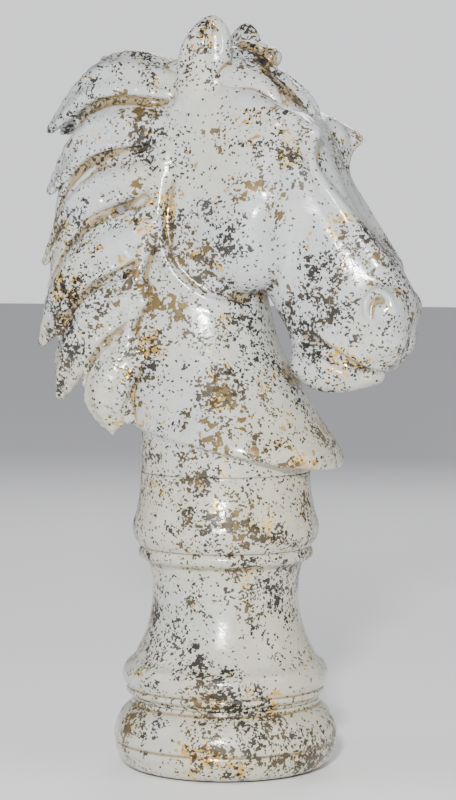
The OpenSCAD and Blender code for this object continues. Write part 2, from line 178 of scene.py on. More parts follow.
class Strand:
    """Tube along a curve of rows [x, y, z, radius], flattened along a direction, with ridges along it."""

    def __init__(self, rows, flat=1.0, out=None, steps=5, ridges=0, ridge_depth=0.0):
        self.rows = catmull(rows, steps)
        self.flat, self.ridges, self.ridge_depth = flat, ridges, ridge_depth
        reach = self.rows[:, 3].max() * max(1.0, flat)
        self.low = self.rows[:, :3].min(0) - reach
        self.high = self.rows[:, :3].max(0) + reach
        self.out = None if out is None else np.array(out, float)

    def outward(self, p):
        """Direction away from the middle of the hair, at the point p."""
        if self.out is not None:
            return self.out / np.linalg.norm(self.out)
        v = np.array([0.55 * (p[0] + 34.0), p[1], 0.12 * (p[2] - 130.0)])
        return v / np.linalg.norm(v)

    def distance(self, x, y, z):
        shape = np.broadcast_shapes(x.shape, y.shape, z.shape)
        best = np.full(shape, 1e9, np.float32)
        across = np.zeros(shape, np.float32)
        deep = np.zeros(shape, np.float32)
        radius = np.ones(shape, np.float32)
        for p, q in zip(self.rows[:-1], self.rows[1:]):
            axis = q[:3] - p[:3]
            length2 = max(float(axis @ axis), 1e-6)
            dx, dy, dz = x - p[0], y - p[1], z - p[2]
            t = np.clip((dx * axis[0] + dy * axis[1] + dz * axis[2]) / length2, 0.0, 1.0)
            r = p[3] + (q[3] - p[3]) * t
            ox, oy, oz = dx - t * axis[0], dy - t * axis[1], dz - t * axis[2]
            gap = np.sqrt(ox * ox + oy * oy + oz * oz) - r
            n = self.outward((p[:3] + q[:3]) / 2)
            n = n - axis * (n @ axis) / length2
            n = n / max(np.linalg.norm(n), 1e-6)
            b = np.cross(axis / math.sqrt(length2), n)
            closer = gap < best
            best = np.where(closer, gap, best)
            deep = np.where(closer, ox * n[0] + oy * n[1] + oz * n[2], deep)
            across = np.where(closer, ox * b[0] + oy * b[1] + oz * b[2], across)
            radius = np.where(closer, r, radius)
        if self.flat == 1.0 and not self.ridges:
            return best
        # what is left along the strand, past its ends
        along2 = np.maximum((best + radius) ** 2 - deep**2 - across**2, 0.0)
        thick = radius * self.flat
        near = np.sqrt((deep / thick) ** 2 + (across**2 + along2) / radius**2)
        far = np.sqrt((deep / thick**2) ** 2 + (across**2 + along2) / radius**4)
        d = near * (near - 1.0) / np.maximum(far, 1e-4)
        if self.ridges:
            wave = np.cos(across / radius * math.pi * self.ridges)
            d = d - self.ridge_depth * wave * np.clip(1.2 - near * 0.2, 0.0, 1.0)
        return d


class Body:
    """Limb through stations [front x, front z, back x, back z, half width, egg shift]; power makes it boxier."""

    def __init__(self, stations, power=2.0, steps=5, cap=0.5):
        s = catmull(stations, steps)
        self.front, self.back, self.wide, self.egg = s[:, 0:2], s[:, 2:4], s[:, 4], s[:, 5]
        self.mid = (self.front + self.back) / 2
        half = (self.front - self.back) / 2
        self.deep = np.linalg.norm(half, axis=1)
        self.dir = half / self.deep[:, None]
        self.power, self.cap = power, cap
        both = np.vstack([self.front, self.back])
        reach = 12.0
        self.low = np.array([both[:, 0].min() - reach, -self.wide.max() - 2, both[:, 1].min() - reach])
        self.high = np.array([both[:, 0].max() + reach, self.wide.max() + 2, both[:, 1].max() + reach])

    def distance(self, x, y, z):
        qx, qz = x[:, 0, :], z[0, :, :]
        shape = np.broadcast_shapes(qx.shape, qz.shape)
        # side of each station line that a point lies on; the station where the sign changes is its place
        side = [(qx - m[0]) * -d[1] + (qz - m[1]) * d[0] for m, d in zip(self.mid, self.dir)]
        flow = self.mid[-1] - self.mid[0]
        turn = 1.0 if (flow[0] * -self.dir[0][1] + flow[1] * self.dir[0][0]) > 0 else -1.0
        side = np.array([np.broadcast_to(g * turn, shape) for g in side])
        place = np.zeros(shape)
        beyond = np.maximum(-side[0], 0.0)
        for i in range(len(side) - 1):
            inside = (side[i] >= 0) & (side[i + 1] < 0)
            place = np.where(inside, i + side[i] / np.maximum(side[i] - side[i + 1], 1e-6), place)
        last = side[-1] >= 0
        place = np.where(last, len(side) - 1.0, place)
        beyond = np.where(last, side[-1], beyond)
        beyond = np.where(last | (side[0] < 0), beyond, 0.0)
        idx = np.arange(len(side))

        def at(values):
            return np.interp(place, idx, values)

        deep, wide, egg = at(self.deep), at(self.wide), at(self.egg)
        dx, dz = at(self.dir[:, 0]), at(self.dir[:, 1])
        v = (qx - at(self.mid[:, 0])) * dx + (qz - at(self.mid[:, 1])) * dz
        v = v - egg * deep
        reach = np.where(v > 0, deep * (1 - egg), deep * (1 + egg))
        cap = np.maximum(wide * self.cap, 4.0)
        v, reach, wide, beyond, cap = (
            a[:, None, :].astype(np.float32) for a in (v, reach, wide, beyond, cap)
        )
        p = self.power
        ey, ev = np.abs(y / wide), np.abs(v / reach)
        core = (ey**p + ev**p) ** (1 / p)
        full = np.sqrt(core**2 + (beyond / cap) ** 2)
        slope = np.sqrt((ey ** (p - 1) / wide) ** 2 + (ev ** (p - 1) / reach) ** 2)
        slope = slope / np.maximum(core, 1e-3) ** (p - 1)
        slope = np.sqrt(slope**2 + (beyond / cap**2 / np.maximum(full, 1e-3)) ** 2)
        return (full - 1.0) / np.maximum(slope, 1.0 / 60.0)


class Slab:
    """Half space on the side of a plane that its normal points away from."""

    def __init__(self, point, normal, low, high):
        n = np.array(normal, float)
        self.n = n / np.linalg.norm(n)
        self.p = np.array(point, float)
        self.low, self.high = np.array(low, float), np.array(high, float)

    def distance(self, x, y, z):
        return (x - self.p[0]) * self.n[0] + (y - self.p[1]) * self.n[1] + (z - self.p[2]) * self.n[2]


# ---------- the horse, in head millimetres; only the left side, y >= 0, is drawn and then mirrored ----------

NECK = [
    [73.5, 1, -56, 24, 55, 0.0],
    [72, 12, -60, 33, 56, 0.0],
    [60, 31, -70, 55, 51, -0.05],
    [46, 55, -77, 88, 45, -0.1],
    [34, 76, -79, 122, 41, -0.1],
    [27, 99, -76, 152, 39, -0.1],
    [22, 130, -66, 184, 38, 0.0],
    [18, 180, -48, 214, 36, 0.0],
    [14, 222, -26, 236, 28, 0.0],
    [8, 240, -12, 246, 18, 0.0],
]
SKULL = [
    [-8, 244, -22, 176, 22, 0.1],
    [12, 249, -20, 158, 34, 0.2],
    [36, 239, -12, 144, 40, 0.25],
    [57, 219, 2, 132, 40, 0.3],
    [71, 193, 16, 120, 34, 0.3],
    [84, 166, 28, 110, 28, 0.25],
    [96, 148, 35, 99, 25, 0.2],
    [107, 132, 42, 87, 24, 0.1],
    [116, 118, 46, 74, 25, 0.0],
    [122, 104, 51, 61, 25, 0.0],
    [119, 88, 68, 52, 22, 0.0],
    [109, 73, 90, 57, 14, 0.0],
]


def sculpt_head(block):
    """The neck, skull and face, without ears or hair."""
    block.add(Body(NECK, power=2.2), 4)
    # the neck's lower edge hangs over the collar along a slanting line
    block.cut(Slab((70, 0, 3.5), (0.215, 0, 1.0), (-120, -80, -40), (120, 80, 60)), 4)
    block.add(Body(SKULL, power=2.3), 7)
    # cheek disc, with the rim standing over the neck
    block.add(Ball((19, 17, 150), (39, 27, 41), (20, 0)), 3)
    # throat ridge that sweeps round the rim
    block.add(Strand([[-26, 34, 192, 3], [-28, 37, 164, 4.5], [-25, 38, 138, 5], [-14, 36, 119, 5],
                      [2, 31, 108, 4.5], [16, 24, 101, 3]]), 5)
    carve(block, [[-19, 176, 1.5], [-22, 158, 2.5], [-19, 136, 3], [-9, 120, 3], [6, 110, 2.6],
                  [22, 105, 1.5]], 4)
    # bone round the eye, and the brow that ends in a corner over it
    block.add(Ball((52, 27, 201), (18, 14, 17), (-24, 0)), 6)
    block.add(Strand([[28, 30, 222, 6], [44, 34, 216, 6], [56, 37, 210.5, 6], [66, 38.5, 206, 4.5],
                      [72, 39, 203.5, 2.5]]), 6)
    block.add(Strand([[70, 37, 203, 3], [65, 33, 192, 4.5], [69, 27, 176, 5], [81, 20, 158, 5.5],
                      [92, 15, 142, 6], [103, 12, 126, 6]]), 7)
    # hollow down the middle of the face
    block.cut(Strand([[71, 0, 234, 8], [83, 0, 205, 12], [91, 0, 181, 12], [100, 0, 160, 9.5],
                      [108, 0, 146, 6]]), 8)
    # eye socket, eyeball and lids
    block.cut(Ball((48, 47.5, 209), (12, 8, 7), (-24, -14)), 4)
    block.add(Ball((47.5, 36.5, 208.8), (9.5, 5.5, 5.5), (-24, -14)), 1.5)
    pile(block, [[36, 207, 1.4], [42, 213.5, 2], [50, 216, 2.2], [58, 213.5, 1.6]])
    pile(block, [[36, 206, 1.2], [43, 203, 1.6], [51, 204.5, 1.6], [58, 212, 1.2]])
    # hollows under the cheek bone
    block.cut(Ball((64, 37, 170), (9, 8, 24), (-28, -20)), 12)
    block.cut(Ball((58, 37, 138), (12, 8, 18), (-20, 0)), 14)
    # nostril: a round button in a ring, with a deep crease over it
    block.add(Ball((108, 17, 101), (12, 11.5, 12)), 6)
    pile(block, [[100, 98, 1.8], [100, 106, 2.4], [106, 111, 2.6], [113, 107, 2.2], [116, 100, 1.6]],
         2.5, 0.0)
    carve(block, [[103, 96, 1.5], [103, 103, 2.6], [106, 106.5, 3.2], [111, 105, 2]], 2, 0.0)
    block.add(Ball((110, 22.5, 97.5), (6.5, 6, 6.5)), 1.5)
    # upper lip, lower jaw and chin
    block.add(Ball((107, 8, 82), (12, 15, 13), (25, 0)), 8)
    block.add(Strand([[54.5, 8, 66, 8.5], [67, 9, 60, 9.5], [82, 8, 59, 8], [91, 4, 61, 5.5]]), 7)
    # the open mouth
    carve(block, [[56, 84.5, 2.2], [63, 81, 4.4], [74, 74.5, 5.2], [85, 68, 4.6], [95, 63, 3.4],
                  [103, 60, 2.4]],
          3, -0.1)
    block.cut(Strand([[98, 18, 62, 2.4], [104, 9, 60.5, 3], [106, 0, 60.5, 3]]), 3)


def add_hair_core(block):
    """Hair that fills the middle, behind the neck."""
    block.add(Body([
        [-6, 250, -14, 257, 12, 0.0],
        [-28, 222, -60, 242, 24, 0.2],
        [-42, 186, -96, 215, 32, 0.35],
        [-50, 148, -110, 166, 38, 0.4],
        [-54, 104, -113, 112, 42, 0.4],
        [-50, 66, -100, 64, 39, 0.35],
        [-44, 42, -76, 50, 30, 0.2],
    ], power=2.2), 3)


# The mane is a fan of locks. Each leaves the head on the root line and ends on the tip line (x, y, z).
ROOT_LINE = [(-20, 14, 236), (-26, 30, 198), (-36, 40, 144), (-46, 44, 84), (-46, 42, 34)]
TIP_LINE = [(-112, 10, 212), (-110, 15, 166), (-114, 20, 104), (-104, 27, 54), (-58, 41, 28)]
LOCK_COUNT = 6
ROOT_SHARE = 0.8          # the lowest lock leaves this far down the root line
LOCK_GIRTH = 18.0         # half width of a lock at its widest
GIRTH_SWING = 0.15        # how much the locks differ from each other
LOCK_SAG = 18.0           # how far the highest lock's middle stands over its chord
SAG_LOSS = 0.6            # share of that sag that the lowest lock has lost
LOCK_PUFF = 5.0           # how far each lock's middle stands out sideways
LOCK_FLAT = 0.5           # thickness of a lock as a share of its width
SWING_STEP = 2.4          # radians of the girth's swing from one lock to the next
SWELL = (0.15, 0.80, 0.7)  # where the swelling sine starts, how far it runs, and its power
CREASE_SHARE = 0.15       # a crease's half width as a share of its locks'
RIM_RADIUS = 4.0          # the ridge along the root line, beside the cheek


def along(line, t):
    """Point at the share t of a smooth line's points."""
    smooth = catmull(line, 12)
    return smooth[int(round(t * (len(smooth) - 1)))]


def lock_rows(index):
    """Rows of x, y, z, half width of one lock: slim at the root, full in the middle, thin at the tip."""
    t = index / (LOCK_COUNT - 1)
    root, tip = along(ROOT_LINE, ROOT_SHARE * t), along(TIP_LINE, t)
    chord = tip - root
    side = np.array([chord[2], 0.0, -chord[0]]) / np.hypot(chord[0], chord[2])
    middle = (root + tip) / 2 + side * LOCK_SAG * (1 - SAG_LOSS * t) + np.array([0.0, LOCK_PUFF, 0.0])
    path = catmull([root, middle, tip], 5)
    girth = LOCK_GIRTH * (1 + GIRTH_SWING * math.sin(SWING_STEP * index))
    share = np.linspace(0.0, 1.0, len(path))
    start, run, power = SWELL
    return np.column_stack([path, girth * np.sin(math.pi * (start + run * share)) ** power])


def add_locks(block):
    for index in range(LOCK_COUNT):
        block.add(Strand(lock_rows(index), flat=LOCK_FLAT, ridges=2, ridge_depth=0.8, steps=1), 5)
    rim = [[*along(ROOT_LINE, t), RIM_RADIUS] for t in np.linspace(0.1, 1.0, 7)]
    block.add(Strand(rim), 3)


def crease_strands():
    """Between each lock and the next, a crease on the skin of the whole mane."""
    block = Block((-128, 0, 14), (8, 64, 266), 1.6)
    add_hair_core(block)
    add_locks(block)
    between = [(lock_rows(i) + lock_rows(i + 1)) / 2 for i in range(LOCK_COUNT - 1)]
    return [on_skin(block, rows[:, [0, 2, 3]] * (1, 1, CREASE_SHARE), -0.1) for rows in between]


creases = [strand for strand in crease_strands() if strand]


def sculpt_locks(block):
    add_locks(block)
    for strand in creases:
        block.cut(strand, 2.5)


def sculpt_hair_core(block):
    add_hair_core(block)
    for strand in creases:
        block.cut(strand, 2.5)


def sculpt_ear(block):
    """Left ear: a broad leaf, cupped towards the front and the side."""
    block.add(Strand([[-6, 19, 216, 12], [-5, 24, 234, 16.5], [-2.5, 27, 249, 16], [0, 28, 257, 14.2],
                      [2, 28, 264, 10.8], [3, 27.5, 269, 6.8], [3.5, 27, 273.5, 2.3]],
                     flat=0.58, out=(0.35, 1.0, 0)), 2)
    block.cut(Strand([[15, 34, 226, 3.5], [10.5, 39, 236, 8.5], [9, 40.5, 247, 9.5], [8.5, 38, 257, 7.5],
                      [7, 34.5, 265, 4], [5, 31.5, 270, 1.5]], flat=0.9, out=(0.35, 1.0, 0)), 1.3)


def sculpt_forelock(block):
    """Curls between the ears, and the locks that fall over the brow."""
    block.add(Strand([[-8, 0, 246, 9], [6, 0, 250, 9], [18, 0, 248, 8], [28, 0, 241, 7]],
                     flat=1.6, out=(0, 1, 0)), 3)
    block.add(Ball((28.5, 3, 252), (6.8, 6.5, 6.3)), 1.5)
    block.add(Ball((21.5, 4, 258), (4.5, 5, 3.8)), 1.5)
    block.add(Ball((12, 2, 257), (7, 6, 6)), 2)
    for side in (-1, 1):
        block.add(Strand([[3, side * 25, 241, 6], [16.5, side * 25, 238.5, 8.5], [28, side * 24.5, 235, 7.6],
                          [37.5, side * 25, 229.7, 5.4], [45, side * 26, 223.4, 1.5]], flat=0.75,
                         out=(0.1, side, 0.35)), 1.5)
    block.add(Strand([[11, -12, 247, 6], [21, -13, 244.5, 6], [31, -13.5, 237.5, 5.5], [41, -14.5, 229.5, 4.5],
                      [49, -15.5, 222.5, 1.5]], flat=0.8, out=(0.3, -0.4, 0.8)), 1.5)
    block.add(Strand([[16, 0, 249, 6], [29, -1, 242, 7], [40, -2, 233.5, 6.5], [50, -3, 225.5, 5.5],
                      [58, -4, 218.5, 2]], flat=0.9, out=(0.4, 0, 0.8)), 1.5)
    block.add(Strand([[22, 11, 246, 5], [34, 13, 238, 5.5], [46, 13, 229, 5], [56, 11, 220, 1.5]], flat=0.9,
                     out=(0.4, 0.3, 0.8)), 1.5)


# ---------- meshes ----------

def mirrored(block):
    """The block with its left half, y >= 0, repeated on the right."""
    full = Block(block.low, block.low, block.voxel)
    start = int(round(-block.low[1] / block.voxel))
    left = block.d[:, start:, :]
    full.d = np.concatenate([left[:, :0:-1, :], left], axis=1)
    full.low = np.array([block.low[0], -(left.shape[1] - 1) * block.voxel, block.low[2]])
    full.size = np.array(full.d.shape)
    return full


def to_object(block, name, turn_over=False):
    """Closed quad mesh at the field's surface, placed on the collar joint; turn_over gives the right side."""
    grid = openvdb.FloatGrid(60.0)
    grid.copyFromArray(np.ascontiguousarray(np.pad(block.d, 1, constant_values=5.0), dtype=np.float32))
    points, quads = grid.convertToQuads(0.0)
    points = (points - 1.0) * block.voxel + block.low
    if turn_over:
        points[:, 1] = -points[:, 1]
        quads = quads[:, ::-1]
    points = points * head_scale + np.array([0.0, 0.0, head_base])
    mesh = bpy.data.meshes.new(name)
    mesh.vertices.add(len(points))
    mesh.vertices.foreach_set("co", points.astype(np.float32).ravel())
    mesh.loops.add(quads.size)
    mesh.loops.foreach_set("vertex_index", quads.astype(np.int32).ravel())
    mesh.polygons.add(len(quads))
    mesh.polygons.foreach_set("loop_start", np.arange(0, quads.size, 4, dtype=np.int32))
    mesh.polygons.foreach_set("loop_total", np.full(len(quads), 4, dtype=np.int32))
    mesh.update(calc_edges=True)
    mesh.validate()
    mesh.shade_smooth()
    obj = bpy.data.objects.new(name, mesh)
    bpy.context.scene.collection.objects.link(obj)
    return obj


def merged_into_head(low, high, sculpt, k, band, voxel=None):
    """A casting that runs out smoothly into the head, blended with it just under its skin."""
    own = Block(low, high, voxel)
    sculpt(own)
    under = Block(low, high, voxel)
    sculpt_head(under)
    raw = own.d.copy()
    own.d = smooth_min(raw, under.d + 0.5, k)
    own.d = smooth_max(own.d, raw - band, 1.0)
    return own


def union_of_all():
    """Distance field of the left half of everything on the collar, averaged over a few millimetres."""
    low, high, voxel = (-130, 0, -2), (132, 66, 282), 1.5
    whole = Block(low, high, voxel)
    sculpt_head(whole)
    for sculpt in (sculpt_hair_core, sculpt_locks, sculpt_ear, sculpt_forelock):
        part = Block(low, high, voxel)
        sculpt(part)
        whole.d = smooth_min(whole.d, part.d, 2.0)
    mean = np.clip(whole.d, -6.0, 6.0).astype(np.float64)
    mean = np.concatenate([mean[:, :0:-1, :], mean], axis=1)
    reach = 2
    for axis in range(3):
        edge = [(reach + 1, reach) if i == axis else (0, 0) for i in range(3)]
        total = np.cumsum(np.pad(mean, edge, mode="edge"), axis=axis)
        n, width = mean.shape[axis], 2 * reach + 1
        mean = (np.take(total, range(width, n + width), axis) - np.take(total, range(n), axis)) / width
    whole.mean = mean[:, mean.shape[1] // 2 :, :]
    return whole


def mark_hollows(obj, whole):
    """Per vertex: 0 on open skin, up to 1 in a hollow, from how much of the space around it is solid; the glaze
    paints shade by it.
    """
    co = np.zeros(len(obj.data.vertices) * 3, np.float32)
    obj.data.vertices.foreach_get("co", co)
    at = (co.reshape(-1, 3) - np.array([0.0, 0.0, head_base])) / head_scale
    at[:, 1] = np.abs(at[:, 1])
    f = np.clip((at - whole.low) / whole.voxel, 0, np.array(whole.mean.shape) - 1.001)
    i = np.floor(f).astype(int)
    t = f - i
    value = np.zeros(len(at))
    for corner in range(8):
        pick = np.array([corner & 1, corner >> 1 & 1, corner >> 2 & 1])
        weight = np.prod(np.where(pick == 1, t, 1 - t), axis=1)
        value += weight * whole.mean[tuple((i + pick).T)]
    set_hollow(obj, np.clip((-value - 0.10) / 0.9, 0.0, 1.0))


def set_hollow(obj, values):
    attribute = obj.data.attributes.new("hollow", "FLOAT", "POINT")
    attribute.data.foreach_set("value", np.asarray(values, np.float32))


HALF_LOW, HALF_HIGH = (-96, 0, -2), (132, 64, 264)


def build_head():
    block = Block(HALF_LOW, HALF_HIGH)
    sculpt_head(block)
    # the neck carries on down as a plain round to the collar joint
    _, x, y, z = block.window(block.low, block.low + block.voxel * block.size)
    stub = np.maximum(np.sqrt(x * x + y * y) - 52.2, z - 27.0)
    block.d = smooth_min(block.d, stub.astype(np.float32), 3.5)
    block.d = np.maximum(block.d, -z + np.zeros_like(block.d))
    return to_object(mirrored(block), "head_casting")


head = build_head()
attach(head, ROOT)
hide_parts("head_right", "head_left")

core = merged_into_head((-128, 0, 14), (4, 50, 266), sculpt_hair_core, 4, 6)
crest = to_object(mirrored(core), "mane_crest_hair")
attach(crest, ROOT)
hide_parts("mane_crest")

locks = merged_into_head((-128, 0, 14), (8, 64, 266), sculpt_locks, 3, 4)
for side, turned in (("left", False), ("right", True)):
    mane = to_object(locks, "mane_hair_" + side, turned)
    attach(mane, ROOT)
    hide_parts("mane_" + side)

ear_block = merged_into_head((-36, 2, 200), (34, 56, 282), sculpt_ear, 7, 9, 0.9)
for side, turned in (("left", False), ("right", True)):
    ear = to_object(ear_block, "ear_leaf_" + side, turned)
    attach(ear, ROOT)
    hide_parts("ear_" + side)

tuft = merged_into_head((-24, -44, 205), (78, 44, 278), sculpt_forelock, 3, 4, 0.9)
forelock = to_object(tuft, "forelock_curls")
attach(forelock, ROOT)
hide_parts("forelock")


whole = union_of_all()
sculpted = [head, crest, forelock] + [bpy.data.objects[n + side] for n in ("mane_hair_", "ear_leaf_")
                                      for side in ("left", "right")]
for piece in sculpted:
    mark_hollows(piece, whole)


# ---------- the turned pedestal ----------

def bow(a, b, h, n):
    """Points along a shallow curve from a towards b that stands h proud of the chord, without b itself."""
    a, b = np.array(a, float), np.array(b, float)
    d = b - a
    side = np.array([d[1], -d[0]]) / np.linalg.norm(d)
    return [tuple(a + d * i / n + side * 4 * h * (i / n) * (1 - i / n)) for i in range(n)]


# Outlines as radius and height in millimetres; the lips almost close the joints between the castings
FOOT = (bow((58.8, 1.3), (66.4, 9.5), 1.6, 8) + bow((66.4, 9.5), (67.9, 15.8), 0.7, 6)
        + bow((67.9, 15.8), (68.3, 18), -0.5, 4) + bow((68.3, 18), (68.7, 20.5), 0.25, 4)
        + bow((68.7, 20.5), (65.8, 31), 0.7, 8) + bow((65.8, 31), (59.4, 38.5), 0.8, 8)
        + bow((59.4, 38.5), (57.6, 41.6), -0.5, 6) + [(57.6, 41.6), (57.2, 42.35)])
WAIST = ([(57.2, 42.65)] + bow((57.7, 43.3), (60.3, 46.3), -0.4, 6) + bow((60.3, 46.3), (60.6, 49.4), 0.6, 6)
         + bow((60.6, 49.4), (60.9, 50.6), -0.5, 4) + bow((60.9, 50.6), (60.7, 64.5), 2.5, 16)
         + bow((60.7, 64.5), (54.5, 71.7), -0.8, 8) + bow((54.5, 71.7), (45.1, 110), -2.8, 24)
         + bow((45.1, 110), (47.1, 124.3), -0.6, 10) + bow((47.1, 124.3), (51.2, 128.3), -0.9, 6)
         + bow((51.2, 128.3), (53.0, 135.0), 1.7, 10) + [(53.0, 135.0), (52.5, 135.85)])
COLLAR = ([(52.5, 136.15)] + bow((53.2, 136.9), (55.9, 155), 2.8, 20) + bow((55.9, 155), (52.3, 181), -0.9, 20)
          + [(52.3, 181), (52.2, 181.9)])


def turned(name, outline, wall, node):
    """Closed shell turned from its outline, with the slight waver of a casting."""
    sides = 240
    outer = np.array(outline)
    inner = outer[::-1].copy()
    inner[:, 0] -= wall
    loop = np.vstack([outer, inner])
    count = len(loop)
    angle = 2 * math.pi * np.arange(sides) / sides
    waver = np.zeros((sides, count))
    for turns, height, size, start in ((2, 0.021, 0.16, 0.4), (3, 0.034, 0.12, 1.9), (5, 0.057, 0.07, 4.0)):
        waver += size * np.sin(turns * angle[:, None] + start + height * loop[None, :, 1])
    waver[:, count // 2 :] = 0.0
    waver[:, [0, count // 2 - 1]] *= 0.3
    radius = loop[None, :, 0] + waver
    points = np.stack([radius * np.cos(angle)[:, None], radius * np.sin(angle)[:, None],
                       np.broadcast_to(loop[None, :, 1], radius.shape)], axis=2).reshape(-1, 3) * 0.001
    i, j = np.meshgrid(np.arange(sides), np.arange(count), indexing="ij")
    k, m = (i + 1) % sides, (j + 1) % count
    quads = np.stack([i * count + j, k * count + j, k * count + m, i * count + m], axis=2).reshape(-1, 4)
    mesh = bpy.data.meshes.new(name)
    mesh.from_pydata(points.tolist(), [], quads.tolist())
    mesh.shade_smooth()
    obj = bpy.data.objects.new(name, mesh)
    bpy.context.scene.collection.objects.link(obj)
    # the outline's inward bends get more painted shade in the glaze
    along = np.gradient(outer, axis=0)
    heading = np.unwrap(np.arctan2(along[:, 1], along[:, 0]))
    step = np.linalg.norm(along, axis=1)
    bend = -np.gradient(heading) / np.maximum(step, 0.2)
    bend = np.convolve(bend, [0.25, 0.5, 0.25], mode="same")
    sunk = np.concatenate([np.clip(bend * 2.2, 0.0, 0.8), np.zeros(count // 2)])
    set_hollow(obj, np.tile(sunk, sides))
    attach(obj, ROOT)
    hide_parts(node)
    return obj


pedestal = [turned("foot_turned", FOOT, 4.0, "foot_shell"), turned("waist_turned", WAIST, 4.0, "waist_shell"),
            turned("collar_turned", COLLAR, 4.0, "collar_shell")]


# ---------- materials ----------

class Nodes:
    """Short way to build a shader tree: each call adds a node and sets or links its inputs by name."""

    def __init__(self, name):
        self.material = bpy.data.materials.new(name)
        self.material.use_nodes = True
        self.tree = self.material.node_tree
        self.shader = self.tree.nodes["Principled BSDF"]

    def set(self, node, **inputs):
        for name, value in inputs.items():
            socket = node.inputs[int(name[1:])] if name.startswith("_") else node.inputs[name]
            if isinstance(value, bpy.types.NodeSocket):
                self.tree.links.new(value, socket)
            else:
                socket.default_value = value
        return node

    def add(self, kind, output=0, attrs=None, **inputs):
        node = self.tree.nodes.new(kind)
        for name, value in (attrs or {}).items():
            setattr(node, name, value)
        return self.set(node, **inputs).outputs[output]

    def math(self, operation, a, b=0.0, c=0.0):
        return self.add("ShaderNodeMath", attrs={"operation": operation}, _0=a, _1=b, _2=c)

    def mix(self, factor, a, b):
        node = self.tree.nodes.new("ShaderNodeMix")
        node.data_type = "RGBA"
        self.set(node, _0=factor, _6=a, _7=b)
        return node.outputs[2]

    def steps(self, value, low, high, start=0.0, end=1.0):
        """Smooth change from start to end as value goes from low to high."""
        node = self.tree.nodes.new("ShaderNodeMapRange")
        node.interpolation_type = "SMOOTHSTEP"
        self.set(node, _0=value, _1=low, _2=high, _3=start, _4=end)
        return node.outputs[0]

    def noise(self, where, scale, detail=2.0, rough=0.5, stretch=0.0):
        node = self.tree.nodes.new("ShaderNodeTexNoise")
        self.set(node, Vector=where, Scale=scale, Detail=detail, Roughness=rough, Distortion=stretch)
        return node.outputs[0]


